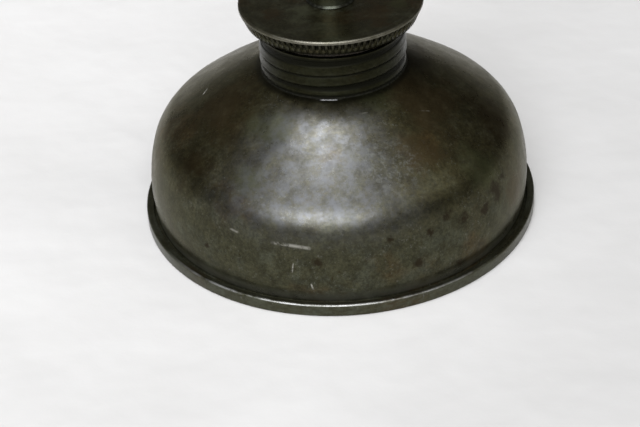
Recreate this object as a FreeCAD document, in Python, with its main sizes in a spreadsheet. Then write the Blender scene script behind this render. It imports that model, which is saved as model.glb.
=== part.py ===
import FreeCAD, Part

# A push-bottom bench oil can: a domed steel tank on a seamed base rim, a rolled screw-thread
# neck, and a knurled cap that carries the spout. Millimetres, +Z up. The origin is the middle
# of the face that the can stands on, and everything is turned about the Z axis.

import math
import os
import re

import Sketcher

# Driving dimensions. Radii are from the Z axis, heights from the bench, angles in degrees.
SIZES = {
    # base seam
    "rim_radius": 47.5,         # outside of the rolled rim
    "rim_height": 3.0,          # top of the rim's outer edge
    "rim_round": 0.6,           # rounding of the rim's outer edges
    "rim_inner_radius": 44.0,   # inner edge of the rim's bottom leg
    "rim_lip_radius": 45.6,     # inner edge of the rim's top leg
    "rim_lip_drop": 0.25,       # how far the top leg slopes down to its inner edge
    "flange_radius": 46.6,      # outer edge of the flange and of the bottom, in the rim
    "film": 0.02,               # clearance that a film of solder or oil fills
    # tank dome: three arcs that run into each other
    "shell_sheet": 0.6,         # thickness of the tank's sheet
    "foot_height": 2.05,        # top of the flange where the wall rises from it
    "belly_centre_radius": 13.06,
    "belly_centre_height": 9.43,
    "belly_arc": 32.5,          # side wall, from the foot up
    "belly_end_angle": 17.0,    # where the side wall meets the shoulder
    "shoulder_arc": 13.1,
    "shoulder_end_angle": 53.57,
    "crown_arc": 103.5,         # the nearly flat cone under the neck
    "mouth_radius": 15.7,       # hole in the top of the tank
    # spring bottom and thumb disc
    "bottom_sheet": 0.45,
    "bottom_edge_height": 0.75, # underside of the bottom where the rim clamps it
    "bottom_bend_radius": 43.2, # outermost ring of the bottom
    "bottom_centre_height": 2.55,
    "bottom_flat_radius": 14.7, # flat middle that the thumb disc is soldered to
    "disc_radius": 12.5,
    "disc_thickness": 0.8,
    "disc_dish": 0.25,          # hollow in the middle of the thumb disc
    # neck collar and its screw thread
    "thread_pitch": 2.65,
    "collar_foot_radius": 16.95,
    "collar_radius": 16.6,      # outside, between the ridges of the thread
    "collar_bore": 15.7,
    "collar_foot_top": 39.6,
    "collar_top": 48.6,
    "lip_radius": 16.9,         # the lip's bead bulges a little beyond this
    "lip_height": 1.0,
    "ridge_rise": 0.55,         # how far the thread stands out of the collar
    "ridge_base": 1.9,          # width of the thread where it leaves the collar
    "ridge_crest": 0.8,
    "ridge_start": 40.6,        # height of the middle of the thread's first turn
    "ridge_turns": 2.1,
    "groove_base": 1.6,         # thread pressed into the bore
    "groove_floor": 0.8,
    "groove_start": 40.6,
    "groove_turns": 3.4,
    "solder_leg": 0.85,
    # cap, sleeve and washer
    "washer_radius": 16.8,
    "washer_bore": 15.62,
    "cap_floor": 50.8,          # underside of the cap
    "cap_top": 54.76,
    "cap_sheet": 0.85,
    "cap_foot_radius": 19.7,
    "cap_waist_radius": 20.3,   # top of the smooth band under the knurl
    "cap_waist_height": 52.3,
    "cap_radius": 21.2,         # crest of the knurl
    "cap_crest_height": 54.2,
    "cap_face_radius": 20.55,   # flat top
    "cap_inner_radius": 18.85,
    "knurl_teeth": 90,
    "knurl_depth": 0.45,
    "knurl_height": 3.0,
    "knurl_edge": 0.6,          # the smooth edge over the knurl
    "flange_sheet": 0.8,
    "flange_gap": 0.03,
    "sleeve_radius": 15.5,
    "sleeve_bore": 14.6,
    "sleeve_end": 41.4,
    "sleeve_ridge_rise": 0.5,
    "sleeve_ridge_base": 1.15,
    "sleeve_ridge_crest": 0.45,
    "sleeve_ridge_start": 43.25,  # one pitch above the collar's thread, so they mesh
    "sleeve_ridge_turns": 1.6,
    # spout
    "spout_foot_radius": 5.2,
    "spout_sheet": 0.6,
    "spout_straight": 3.0,      # upright part of the root, above the cap
    "spout_end_radius": 1.75,
    "spout_end_bore": 1.25,
    "spout_end_height": 160.0,
    "spout_flare_radius": 6.8,
    "spout_lap_width": 1.6,     # overlap of the rolled sheet, up the back of the spout
    "spout_lap_rise": 0.3,
    "spout_lap_end_height": 155.0,
    "spout_bead": 0.7,
    "tip_collar_radius": 2.3,
    "tip_collar_drop": 4.0,     # how far the tip's collar reaches down over the spout
    "tip_collar_rise": 1.2,
    "tip_radius": 1.25,
    "tip_bore": 0.7,
    "tip_height": 166.0,
}
BOTTOM_RINGS = 5

WORD = re.compile(r"[a-z_]{2,}")

doc = FreeCAD.newDocument("oil_can")
sheet = doc.addObject("Spreadsheet::Sheet", "dims")
for row, (word, number) in enumerate(SIZES.items(), start=1):
    sheet.set(f"A{row}", word)
    sheet.set(f"B{row}", str(number))
    sheet.setAlias(f"B{row}", word)
doc.recompute()


def bound(expression):
    """Point an expression's words at the sheet's cells."""
    return WORD.sub(lambda word: f"dims.{word.group()}" if word.group() in SIZES else word.group(),
                    expression)


def value(owner, expression):
    """What an expression over the sheet gives now."""
    result = owner.evalExpression(bound(expression))
    return float(getattr(result, "Value", result))


def new_body(name):
    """An empty body whose label is the name of its file."""
    body = doc.addObject("PartDesign::Body", name)
    body.Label = name
    body.Placement = FreeCAD.Placement()
    return body


def plane(body, role):
    """One of the body's own origin planes or axes, by its role."""
    return next(item for item in body.Origin.OriginFeatures if item.Role == role)


def new_sketch(body, name, role):
    sketch = body.newObject("Sketcher::SketchObject", name)
    sketch.AttachmentSupport = [(plane(body, role), "")]
    sketch.MapMode = "FlatFace"
    return sketch


def arc_between(first, last, radius):
    """The short arc from first to last: a positive radius turns left, a negative one right."""
    chord = last - first
    middle = (first + last) * 0.5
    left = FreeCAD.Vector(-chord.y, chord.x, 0).normalize()
    rise = math.sqrt(radius ** 2 - (chord.Length / 2) ** 2)
    centre = middle + left * math.copysign(rise, radius)
    start, end = (first, last) if radius > 0 else (last, first)
    angles = [math.atan2(point.y - centre.y, point.x - centre.x) for point in (start, end)]
    circle = Part.Circle(centre, FreeCAD.Vector(0, 0, 1), abs(radius))
    return Part.ArcOfCircle(circle, *angles)


def draw_outline(sketch, outline):
    """Close an outline of (x, y) or (x, y, arc radius) points, each bound to the sheet.

    The radius belongs to the edge that leaves its point.
    """
    spots = [FreeCAD.Vector(value(sketch, point[0]), value(sketch, point[1]), 0) for point in outline]
    ends = []
    for index, point in enumerate(outline):
        first = spots[index]
        last = spots[(index + 1) % len(spots)]
        if len(point) == 2:
            edge = sketch.addGeometry(Part.LineSegment(first, last))
            ends.append((edge, 1, 2))
            continue
        radius = value(sketch, point[2])
        edge = sketch.addGeometry(arc_between(first, last, radius))
        ends.append((edge, 1, 2) if radius > 0 else (edge, 2, 1))
        number = sketch.addConstraint(Sketcher.Constraint("Radius", edge, abs(radius)))
        sketch.setExpression(f"Constraints[{number}]", bound(f"abs({point[2]})"))
    for index, (edge, start, _) in enumerate(ends):
        before, _, finish = ends[index - 1]
        sketch.addConstraint(Sketcher.Constraint("Coincident", before, finish, edge, start))
        for kind, axis, words, number in (("DistanceX", -2, outline[index][0], spots[index].x),
                                          ("DistanceY", -1, outline[index][1], spots[index].y)):
            if words == "0":
                sketch.addConstraint(Sketcher.Constraint("PointOnObject", edge, start, axis))
                continue
            place = sketch.addConstraint(Sketcher.Constraint(kind, -1, 1, edge, start, number))
            sketch.setExpression(f"Constraints[{place}]", bound(words))


def turned(name, outline):
    """A body turned about the Z axis from one closed outline of radii and heights."""
    body = new_body(name)
    sketch = new_sketch(body, f"{name}_outline", "XZ_Plane")
    draw_outline(sketch, outline)
    turn = body.newObject("PartDesign::Revolution", f"{name}_turn")
    turn.Profile = sketch
    turn.ReferenceAxis = (sketch, ["V_Axis"])
    turn.Angle = 360
    doc.recompute()
    return body


def add_thread(body, kind, name, inner, base, crest, rise, start, turns):
    """Add or cut a right-hand thread of trapezium section.

    inner is the radius of its wide side, and a negative rise would point it inwards.
    """
    before = body.Shape.Volume
    sketch = new_sketch(body, f"{name}_section", "XZ_Plane")
    draw_outline(sketch, [
        (inner, f"{start} - ({base}) / 2"),
        (f"{inner} + {rise}", f"{start} - ({crest}) / 2"),
        (f"{inner} + {rise}", f"{start} + ({crest}) / 2"),
        (inner, f"{start} + ({base}) / 2"),
    ])
    thread = body.newObject(f"PartDesign::{kind}Helix", name)
    thread.Profile = sketch
    thread.ReferenceAxis = (sketch, ["V_Axis"])
    thread.Mode = "pitch-turns-angle"
    thread.setExpression("Pitch", bound("thread_pitch"))
    thread.setExpression("Turns", bound(turns))
    doc.recompute()
    change = body.Shape.Volume - before
    if (change > 0) != (kind == "Additive"):
        raise RuntimeError(f"{name} changed the volume by {change:.2f} mm3")


def on_circle(centre_radius, centre_height, arc, angle):
    """The point of an arc at an angle above the horizontal, as two expressions."""
    return (f"{centre_radius} + ({arc}) * cos(({angle}) * 1 deg)",
            f"{centre_height} + ({arc}) * sin(({angle}) * 1 deg)")


# Each arc of the dome starts where the last one ends, so their centres lie on one normal.
SHOULDER_CENTRE = on_circle("belly_centre_radius", "belly_centre_height",
                            "belly_arc - shoulder_arc", "belly_end_angle")
CROWN_CENTRE = on_circle(*SHOULDER_CENTRE, "shoulder_arc - crown_arc", "shoulder_end_angle")


def height_on(centre, arc, radius):
    """The height of an arc of the dome at a radius."""
    return f"{centre[1]} + sqrt(({arc})^2 - ({radius} - ({centre[0]}))^2)"


def radius_on(centre, arc, height):
    """The radius of an arc of the dome at a height."""
    return f"{centre[0]} + sqrt(({arc})^2 - ({height} - ({centre[1]}))^2)"


BELLY_CENTRE = ("belly_centre_radius", "belly_centre_height")


def make_tank_shell():
    inner = "shell_sheet"
    flange_under = "foot_height - shell_sheet"
    turned("tank_shell", [
        ("flange_radius", flange_under),
        ("flange_radius", "foot_height"),
        (radius_on(BELLY_CENTRE, "belly_arc", "foot_height"), "foot_height", "belly_arc"),
        (*on_circle(*BELLY_CENTRE, "belly_arc", "belly_end_angle"), "shoulder_arc"),
        (*on_circle(*SHOULDER_CENTRE, "shoulder_arc", "shoulder_end_angle"), "crown_arc"),
        ("mouth_radius", height_on(CROWN_CENTRE, "crown_arc", "mouth_radius")),
        ("mouth_radius", height_on(CROWN_CENTRE, f"crown_arc - {inner}", "mouth_radius"),
         f"{inner} - crown_arc"),
        (*on_circle(*SHOULDER_CENTRE, f"shoulder_arc - {inner}", "shoulder_end_angle"),
         f"{inner} - shoulder_arc"),
        (*on_circle(*BELLY_CENTRE, f"belly_arc - {inner}", "belly_end_angle"),
         f"{inner} - belly_arc"),
        (radius_on(BELLY_CENTRE, f"belly_arc - {inner}", flange_under), flange_under),
    ])


def make_seam_ring():
    """The rim's channel section, folded over the tank's flange and the edge of the bottom."""
    turned("seam_ring", [
        ("rim_inner_radius", "0"),
        ("rim_radius - rim_round", "0", "rim_round"),
        ("rim_radius", "rim_round"),
        ("rim_radius", "rim_height - rim_round", "rim_round"),
        ("rim_radius - rim_round", "rim_height"),
        ("rim_lip_radius", "rim_height - rim_lip_drop"),
        ("rim_lip_radius", "foot_height + film"),
        ("flange_radius + film", "foot_height + film"),
        ("flange_radius + film", "bottom_edge_height - film"),
        ("rim_inner_radius", "bottom_edge_height - film"),
    ])


def bottom_line(lift):
    """Points along the spring bottom from its clamped edge in: flat rings and short risers."""
    step = f"(bottom_bend_radius - bottom_flat_radius) / {BOTTOM_RINGS}"
    rise = f"(bottom_centre_height - bottom_edge_height) / {BOTTOM_RINGS}"
    points = [("flange_radius", f"bottom_edge_height + {lift}")]
    for ring in range(BOTTOM_RINGS):
        for along, up in ((0, 0), (0.35, 1)):
            points.append((f"bottom_bend_radius - {ring + along} * {step}",
                           f"bottom_edge_height + {ring + up} * {rise} + {lift}"))
    return points


def make_spring_bottom():
    under = bottom_line("0")
    over = bottom_line("bottom_sheet")
    turned("spring_bottom", [
        ("0", "bottom_centre_height + bottom_sheet"),
        ("0", "bottom_centre_height"),
        *reversed(under),
        *over,
    ])


def make_push_disc():
    """The thumb disc, soldered under the flat middle of the spring bottom."""
    top = "bottom_centre_height - film"
    turned("push_disc", [
        ("0", f"{top} - disc_thickness + disc_dish"),
        ("disc_radius * 0.7", f"{top} - disc_thickness"),
        ("disc_radius - disc_thickness / 2", f"{top} - disc_thickness", "disc_thickness / 2"),
        ("disc_radius", f"{top} - disc_thickness / 2"),
        ("disc_radius", top),
        ("0", top),
    ])


def make_neck_collar():
    """The rolled neck: a ridge outside and a groove inside follow one right-hand helix."""
    body = turned("neck_collar", [
        ("collar_bore", height_on(CROWN_CENTRE, "crown_arc + film", "collar_bore"),
         "0 - crown_arc - film"),
        ("collar_foot_radius", height_on(CROWN_CENTRE, "crown_arc + film", "collar_foot_radius")),
        ("collar_foot_radius", "collar_foot_top"),
        ("collar_radius", "collar_foot_top + 0.4"),
        ("collar_radius", "collar_top - lip_height - 0.3"),
        ("lip_radius", "collar_top - lip_height", "lip_height * 0.6"),
        ("lip_radius", "collar_top"),
        ("collar_bore", "collar_top"),
    ])
    overlap = 0.1
    add_thread(body, "Additive", "collar_ridge", f"collar_radius - {overlap}", "ridge_base",
               "ridge_crest", f"(ridge_rise + {overlap})", "ridge_start", "ridge_turns")
    add_thread(body, "Subtractive", "collar_groove", f"collar_bore - {overlap}", "groove_base",
               "groove_floor", f"(ridge_rise + {overlap})", "groove_start", "groove_turns")


def make_neck_solder():
    foot = "collar_foot_radius + film"
    edge = "collar_foot_radius + solder_leg"
    turned("neck_solder", [
        (foot, height_on(CROWN_CENTRE, "crown_arc + film", foot), "0 - crown_arc - film"),
        (edge, height_on(CROWN_CENTRE, "crown_arc + film", edge), "0 - solder_leg * 2"),
        (foot, f"{height_on(CROWN_CENTRE, 'crown_arc + film', foot)} + solder_leg * 0.8"),
    ])


def make_cap_washer():
    """The leather washer that seals the cap against the lip of the collar."""
    turned("cap_washer", [
        ("washer_bore", "collar_top + film"),
        ("washer_radius", "collar_top + film"),
        ("washer_radius", "cap_floor - film"),
        ("washer_bore", "cap_floor - film"),
    ])


def make_spout_cap():
    """The pressed cap: a smooth lower band, a flaring knurled edge and a flat top."""
    name = "spout_cap"
    under = "cap_top - cap_sheet"
    hole = "spout_foot_radius + film"
    body = turned(name, [
        (hole, under),
        ("cap_inner_radius", under),
        ("cap_inner_radius", "cap_floor"),
        ("cap_foot_radius", "cap_floor"),
        ("cap_waist_radius", "cap_waist_height"),
        ("cap_radius", "cap_crest_height", "(cap_radius - cap_face_radius) * 1.1"),
        ("cap_face_radius", "cap_top"),
        (hole, "cap_top"),
    ])
    sketch = new_sketch(body, "knurl_notch", "XY_Plane")
    floor = "(cap_radius - knurl_depth)"
    half = "pi * cap_radius / knurl_teeth"
    foot = "cap_top - knurl_edge - knurl_height"
    draw_outline(sketch, [
        (floor, "0"),
        (f"{floor} + knurl_depth * 1.25", f"0 - 1.1 * {half}"),
        (f"{floor} + knurl_depth * 1.25", f"1.1 * {half}"),
    ])
    sketch.AttachmentOffset = FreeCAD.Placement(
        FreeCAD.Vector(0, 0, value(sketch, foot)), FreeCAD.Rotation())
    sketch.setExpression("AttachmentOffset.Base.z", bound(foot))
    notch = body.newObject("PartDesign::Pocket", "knurl_cut")
    notch.Profile = sketch
    notch.Type = "Length"
    notch.Reversed = True
    notch.setExpression("Length", bound("knurl_height"))
    doc.recompute()
    knurl = body.newObject("PartDesign::PolarPattern", "knurl")
    knurl.Originals = [notch]
    knurl.Axis = (plane(body, "Z_Axis"), [""])
    knurl.Angle = 360
    knurl.setExpression("Occurrences", bound("knurl_teeth"))
    body.Tip = knurl
    doc.recompute()


def make_cap_sleeve():
    """The flanged sleeve under the cap, with the thread that screws into the collar."""
    body = turned("cap_sleeve", [
        ("sleeve_bore", "sleeve_end"),
        ("sleeve_radius", "sleeve_end"),
        ("sleeve_radius", "cap_floor"),
        ("cap_inner_radius - flange_gap", "cap_floor"),
        ("cap_inner_radius - flange_gap", "cap_floor + flange_sheet"),
        ("sleeve_bore", "cap_floor + flange_sheet"),
    ])
    overlap = 0.1
    add_thread(body, "Additive", "sleeve_ridge", f"sleeve_radius - {overlap}", "sleeve_ridge_base",
               "sleeve_ridge_crest", f"(sleeve_ridge_rise + {overlap})", "sleeve_ridge_start",
               "sleeve_ridge_turns")


def make_spout_tube():
    """The spout, rolled from sheet: an upright root, a long taper and a lap up its back."""
    name = "spout_tube"
    taper_foot = "cap_top + spout_straight"
    under_cap = "cap_top - cap_sheet - flange_gap"
    body = turned(name, [
        ("spout_foot_radius - spout_sheet", f"{under_cap} - spout_sheet"),
        ("spout_flare_radius", f"{under_cap} - spout_sheet"),
        ("spout_flare_radius", under_cap),
        ("spout_foot_radius", under_cap),
        ("spout_foot_radius", taper_foot),
        ("spout_end_radius", "spout_end_height"),
        ("spout_end_bore", "spout_end_height"),
        ("spout_foot_radius - spout_sheet", taper_foot),
    ])
    slope = "(spout_foot_radius - spout_end_radius) / (spout_end_height - cap_top - spout_straight)"
    end = f"spout_foot_radius - {slope} * (spout_lap_end_height - cap_top - spout_straight)"
    sink = "0.25"
    sketch = new_sketch(body, "spout_lap_side", "YZ_Plane")
    draw_outline(sketch, [
        (f"spout_foot_radius - {sink}", taper_foot),
        (f"spout_foot_radius + spout_lap_rise", f"{taper_foot} + 2"),
        (f"{end} + spout_lap_rise", "spout_lap_end_height - 1"),
        (f"{end} - {sink}", "spout_lap_end_height"),
    ])
    lap = body.newObject("PartDesign::Pad", "spout_lap")
    lap.Profile = sketch
    lap.SideType = "Symmetric"
    lap.setExpression("Length", bound("spout_lap_width"))
    doc.recompute()


def make_spout_solder():
    foot = "spout_foot_radius + film"
    turned("spout_solder", [
        (foot, "cap_top + film"),
        (f"{foot} + spout_bead", "cap_top + film", "0 - spout_bead * 1.3"),
        (foot, "cap_top + film + spout_bead"),
    ])


def make_spout_tip():
    """The turned nozzle, whose collar is soldered over the end of the spout."""
    slope = "(spout_foot_radius - spout_end_radius) / (spout_end_height - cap_top - spout_straight)"
    turned("spout_tip", [
        (f"spout_end_radius + film + {slope} * tip_collar_drop", "spout_end_height - tip_collar_drop"),
        ("tip_collar_radius", "spout_end_height - tip_collar_drop"),
        ("tip_collar_radius", "spout_end_height + tip_collar_rise"),
        ("tip_radius + 0.2", "spout_end_height + tip_collar_rise + 0.8"),
        ("tip_radius", "tip_height"),
        ("tip_bore", "tip_height"),
        ("tip_bore", "spout_end_height + film"),
        ("spout_end_radius + film", "spout_end_height + film"),
    ])


for make in (make_tank_shell, make_seam_ring, make_spring_bottom, make_push_disc, make_neck_collar,
             make_neck_solder, make_cap_washer, make_spout_cap, make_cap_sleeve, make_spout_tube,
             make_spout_solder, make_spout_tip):
    make()
doc.recompute()

for item in doc.Objects:
    if {"Invalid", "Error"} & set(item.State):
        raise RuntimeError(f"{item.Name} failed: {item.State}")

bodies = [item for item in doc.Objects if item.TypeId == "PartDesign::Body"]
for body in bodies:
    if body.Shape.isNull() or not body.Shape.isValid() or len(body.Shape.Solids) != 1:
        raise RuntimeError(f"{body.Label} is not one valid solid")

os.makedirs("parts", exist_ok=True)
for body in bodies:
    body.Shape.exportStep(f"parts/{body.Label}.step")
    print(f"{body.Label}: {body.Shape.Volume:.1f} mm3")
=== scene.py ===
import math

import bmesh
import bpy
from mathutils import Euler, Matrix, Vector, noise


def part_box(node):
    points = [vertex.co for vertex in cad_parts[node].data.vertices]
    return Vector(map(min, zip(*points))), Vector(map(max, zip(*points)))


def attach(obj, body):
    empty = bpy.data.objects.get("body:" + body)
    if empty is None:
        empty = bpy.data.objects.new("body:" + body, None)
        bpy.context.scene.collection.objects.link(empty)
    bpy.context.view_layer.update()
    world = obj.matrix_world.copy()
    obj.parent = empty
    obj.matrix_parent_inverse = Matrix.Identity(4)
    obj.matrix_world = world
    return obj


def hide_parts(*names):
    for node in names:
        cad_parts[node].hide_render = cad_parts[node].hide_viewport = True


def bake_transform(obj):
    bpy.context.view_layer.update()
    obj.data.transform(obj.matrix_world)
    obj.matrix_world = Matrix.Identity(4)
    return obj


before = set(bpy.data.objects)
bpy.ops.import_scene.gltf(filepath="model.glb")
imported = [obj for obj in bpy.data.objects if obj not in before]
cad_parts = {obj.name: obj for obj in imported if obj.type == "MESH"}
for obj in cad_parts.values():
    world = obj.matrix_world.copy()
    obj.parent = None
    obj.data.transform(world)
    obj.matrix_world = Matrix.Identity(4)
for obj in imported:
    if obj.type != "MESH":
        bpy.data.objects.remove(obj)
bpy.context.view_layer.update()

# A push-bottom oil can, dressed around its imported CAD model.
#
# Outlines are in millimetres, as (radius from the Z axis, height above the bench), and become
# metres when a mesh is made. Angles are in degrees. A turning angle starts on +X and grows
# towards +Y, and an azimuth starts at the front, on -Y, and grows towards +X.

MM = 0.001
PITCH = 2.65                    # of the neck's screw thread


# -------- sizes taken from the frame

def extent(node):
    """A CAD node's outer radius, lowest height and highest height, in millimetres."""
    low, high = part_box(node)
    return high.x / MM, low.z / MM, high.z / MM


RIM_RADIUS, RIM_FOOT, RIM_TOP = extent("seam_ring")
FLANGE_RADIUS, FLANGE_UNDER, _ = extent("tank_shell")
_, BOTTOM_EDGE, _ = extent("spring_bottom")
DISC_RADIUS, DISC_UNDER, DISC_TOP = extent("push_disc")
_, COLLAR_FOOT, COLLAR_TOP = extent("neck_collar")
SOLDER_RADIUS, _, SOLDER_TOP = extent("neck_solder")
WASHER_RADIUS, WASHER_UNDER, WASHER_TOP = extent("cap_washer")
_, CAP_FLOOR, CAP_TOP = extent("spout_cap")
SLEEVE_FLANGE, SLEEVE_END, SLEEVE_TOP = extent("cap_sleeve")
SPOUT_FLARE, SPOUT_UNDER, SPOUT_END = extent("spout_tube")
BEAD_RADIUS, BEAD_FOOT, BEAD_TOP = extent("spout_solder")
TIP_COLLAR, TIP_UNDER, TIP_TOP = extent("spout_tip")


# -------- outlines

def steps(first, last, count):
    """Evenly spaced numbers from first to last, both included."""
    return [first + (last - first) * index / count for index in range(count + 1)]


def ease(value, low, high):
    """0 below low, 1 above high and a smooth rise between."""
    part = min(max((value - low) / (high - low), 0), 1)
    return part * part * (3 - 2 * part)


def follow(value, line):
    """The second number of a line of (number, number) points, at a first number."""
    if value <= line[0][0]:
        return line[0][1]
    for (start, low), (end, high) in zip(line, line[1:]):
        if value <= end:
            return low + (high - low) * (value - start) / (end - start)
    return line[-1][1]


def curve(first, corner, last, count):
    """Points along a curve that leaves first towards a corner and comes to last from it."""
    first, corner, last = Vector(first), Vector(corner), Vector(last)
    return [tuple(first * (1 - part) ** 2 + corner * 2 * part * (1 - part) + last * part ** 2)
            for part in steps(0, 1, count)]


def rounded(corners, count):
    """A closed outline whose (radius, height, rounding) corners become short curves."""
    outline = []
    for index, (*spot, size) in enumerate(corners):
        spot = Vector(spot)
        if size == 0:
            outline.append(tuple(spot))
            continue
        before = Vector(corners[index - 1][:2]) - spot
        after = Vector(corners[(index + 1) % len(corners)][:2]) - spot
        outline += curve(spot + before.normalized() * size, spot, spot + after.normalized() * size,
                         count)
    return outline


def divided(outline, longest):
    """The same closed outline, with no edge longer than a length."""
    points = []
    for index, spot in enumerate(outline):
        after = outline[(index + 1) % len(outline)]
        count = max(1, math.ceil(math.dist(spot, after) / longest))
        points += [tuple(Vector(spot).lerp(Vector(after), part / count)) for part in range(count)]
    return points


def wander(angle, height, size, seed):
    """Smooth noise from -1 to 1 over a surface, whose lumps are about size across near the rim.

    Each seed looks at another part of the same noise.
    """
    turn = math.radians(angle)
    spot = Vector((math.cos(turn), math.sin(turn), 0)) * RIM_RADIUS / size
    return noise.noise(spot + Vector((seed * 7.3, seed * 3.1, height / size + seed * 5.7)))


# -------- meshes

WELD = 0.0005                   # points nearer than this become one


def turned(name, column, angles, crease=38):
    """A closed mesh turned about the Z axis, where column(angle) gives the outline at an angle.

    Every outline has the same number of points. Points that meet become one, so that an outline
    may touch the axis, close up, or move up a thread by one turn.
    """
    rows = [column(angle) for angle in angles]
    size = len(rows[0])
    points = []
    for angle, row in zip(angles, rows):
        turn = math.radians(angle)
        points += [(radius * math.cos(turn) * MM, radius * math.sin(turn) * MM, height * MM)
                   for radius, height in row]
    faces = []
    for start in range(0, (len(angles) - 1) * size, size):
        for index in range(size):
            after = (index + 1) % size
            faces.append((start + index, start + size + index, start + size + after, start + after))
    mesh = bpy.data.meshes.new(name)
    mesh.from_pydata(points, [], faces)
    work = bmesh.new()
    work.from_mesh(mesh)
    bmesh.ops.remove_doubles(work, verts=work.verts, dist=WELD * MM)
    bmesh.ops.dissolve_degenerate(work, edges=work.edges, dist=WELD * MM)
    bmesh.ops.recalc_face_normals(work, faces=work.faces)
    work.to_mesh(mesh)
    work.free()
    mesh.shade_smooth()
    mesh.set_sharp_from_angle(angle=math.radians(crease))
    piece = bpy.data.objects.new(name, mesh)
    bpy.context.collection.objects.link(piece)
    return piece


def place(piece, node, body, material):
    """Put a finished piece in for its CAD node, on a body, with a material."""
    piece.data.materials.append(material)
    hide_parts(node)
    if body:
        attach(piece, body)


# -------- the dome's arcs

def next_arc(arc, angle, size):
    """The arc that runs on from another at an angle, as (centre radius, centre height, size)."""
    reach = arc[2] - size
    return (arc[0] + reach * math.cos(math.radians(angle)),
            arc[1] + reach * math.sin(math.radians(angle)), size)


def on_arc(arc, angle, inset=0):
    """The place at an angle of an arc, or at a depth inside it."""
    turn = math.radians(angle)
    return (arc[0] + (arc[2] - inset) * math.cos(turn), arc[1] + (arc[2] - inset) * math.sin(turn))


def along_arc(arc, first, last, count, inset=0):
    return [on_arc(arc, angle, inset) for angle in steps(first, last, count)]


def arc_angle(arc, radius, inset=0):
    """The angle at which the upper half of an arc passes a radius."""
    return math.degrees(math.acos((radius - arc[0]) / (arc[2] - inset)))


SHEET = 0.6                     # thickness of the tank's sheet

# Three arcs, each as (centre radius, centre height, size), make the dome, from the wall up. The
# angles are where the belly turns into the shoulder and the shoulder into the crown.
BELLY_END, SHOULDER_END = 17.0, 53.57
BELLY = (13.06, 9.43, 32.5)
SHOULDER = next_arc(BELLY, BELLY_END, 13.1)
CROWN = next_arc(SHOULDER, SHOULDER_END, 103.5)
MOUTH_RADIUS = 15.7
FLANGE_TOP = FLANGE_UNDER + SHEET


def dome_height(radius, lift=0):
    """The height of the dome's crown at a radius."""
    return on_arc(CROWN, arc_angle(CROWN, radius, -lift), -lift)[1]


def wall_angle(height):
    """The angle at which the side wall passes a height."""
    return math.degrees(math.asin((height - BELLY[1]) / BELLY[2]))


def wall_point(azimuth, height):
    """A place on the outside of the tank, in millimetres, from its azimuth and height."""
    for arc, top in ((BELLY, BELLY_END), (SHOULDER, SHOULDER_END), (CROWN, 90)):
        angle = math.degrees(math.asin(min((height - arc[1]) / arc[2], 1)))
        if angle <= top:
            break
    radius = on_arc(arc, angle)[0]
    turn = math.radians(azimuth)
    return Vector((radius * math.sin(turn), -radius * math.cos(turn), height))


# Marks in the tank's skin, from one (azimuth, height) to another: a scratch along a dent, a
# nick, a long scratch and a few chips. Then the rust spots, as (azimuth, height, size).
DING = ((-20.3, 17.1), (-9.2, 16.6))
NICK = ((-34.0, 17.9), (-31.0, 17.5))
LONG_SCRATCH = ((14, 36.3), (52, 33.5))
CHIPS = (((-14.1, 12.6), (-14.6, 10.2)), ((-9.3, 7.4), (-8.7, 5.2)),
         ((-89.6, 31.1), (-92.7, 31.7)), ((140.0, 12.0), (142.0, 13.0)))
RUST_SPOTS = ((32.0, 19.1, 1.6), (37.3, 16.6, 1.5), (53.1, 17.6, 2.6), (46.3, 15.8, 1.8),
              (25.7, 16.6, 1.1), (13.5, 17.4, 0.9), (21.6, 10.0, 1.6), (35.2, 5.5, 1.2),
              (-7.3, 13.3, 1.2), (-42.3, 11.2, 0.9), (57.5, 19.6, 1.9), (150.0, 14.0, 2.2),
              (-120.0, 9.0, 1.7), (205.0, 24.0, 2.4))


# -------- pieces of the tank

def make_tank_shell():
    foot_round = 0.5
    outside = [*along_arc(BELLY, wall_angle(FLANGE_TOP + foot_round), BELLY_END, 60),
               *along_arc(SHOULDER, BELLY_END, SHOULDER_END, 26)[1:],
               *along_arc(CROWN, SHOULDER_END, arc_angle(CROWN, MOUTH_RADIUS), 26)[1:]]
    inside = [*along_arc(CROWN, arc_angle(CROWN, MOUTH_RADIUS, SHEET), SHOULDER_END, 10, SHEET),
              *along_arc(SHOULDER, SHOULDER_END, BELLY_END, 10, SHEET)[1:],
              *along_arc(BELLY, BELLY_END, wall_angle(FLANGE_UNDER + foot_round), 16, SHEET)[1:]]
    foot_out, foot_in = outside[0][0] + foot_round, inside[-1][0] + foot_round
    flange = rounded([(foot_in, FLANGE_UNDER, 0), (FLANGE_RADIUS, FLANGE_UNDER, 0.15),
                      (FLANGE_RADIUS, FLANGE_TOP, 0.15), (foot_out, FLANGE_TOP, 0)], 2)
    bend = foot_round * 0.3
    outline = [*flange, (foot_out - foot_round + bend, FLANGE_TOP + bend), *outside, *inside,
               (foot_in - foot_round + bend, FLANGE_UNDER + bend)]

    wide_dent, small_dent, ding_dent = 0.16, 0.05, 0.3
    ding_start, ding_end = (wall_point(*spot) for spot in DING)
    along = (ding_end - ding_start).normalized()
    length = (ding_end - ding_start).length
    half_width, overrun, run_in = 1.5, 1.2, 2.0

    def column(angle):
        turn = math.radians(angle)
        points = []
        for radius, height in outline:
            free = ease(height, 5, 14) * ease(radius, 17.2, 22)
            dent = free * (wide_dent + wide_dent * wander(angle, height, 17, 1)
                           + small_dent * wander(angle, height, 6, 2))
            spot = Vector((radius * math.cos(turn), radius * math.sin(turn), height))
            reach = (spot - ding_start).dot(along)
            off = (spot - ding_start - along * reach).length
            dent += (ding_dent * ease(-off, -half_width, 0) * ease(reach, -overrun, run_in)
                     * ease(-reach, -length - overrun, -length + run_in))
            points.append((radius - dent * 0.7, height - dent * 0.35))
        return points

    return turned("tank_skin", column, steps(0, 360, 384))


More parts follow.
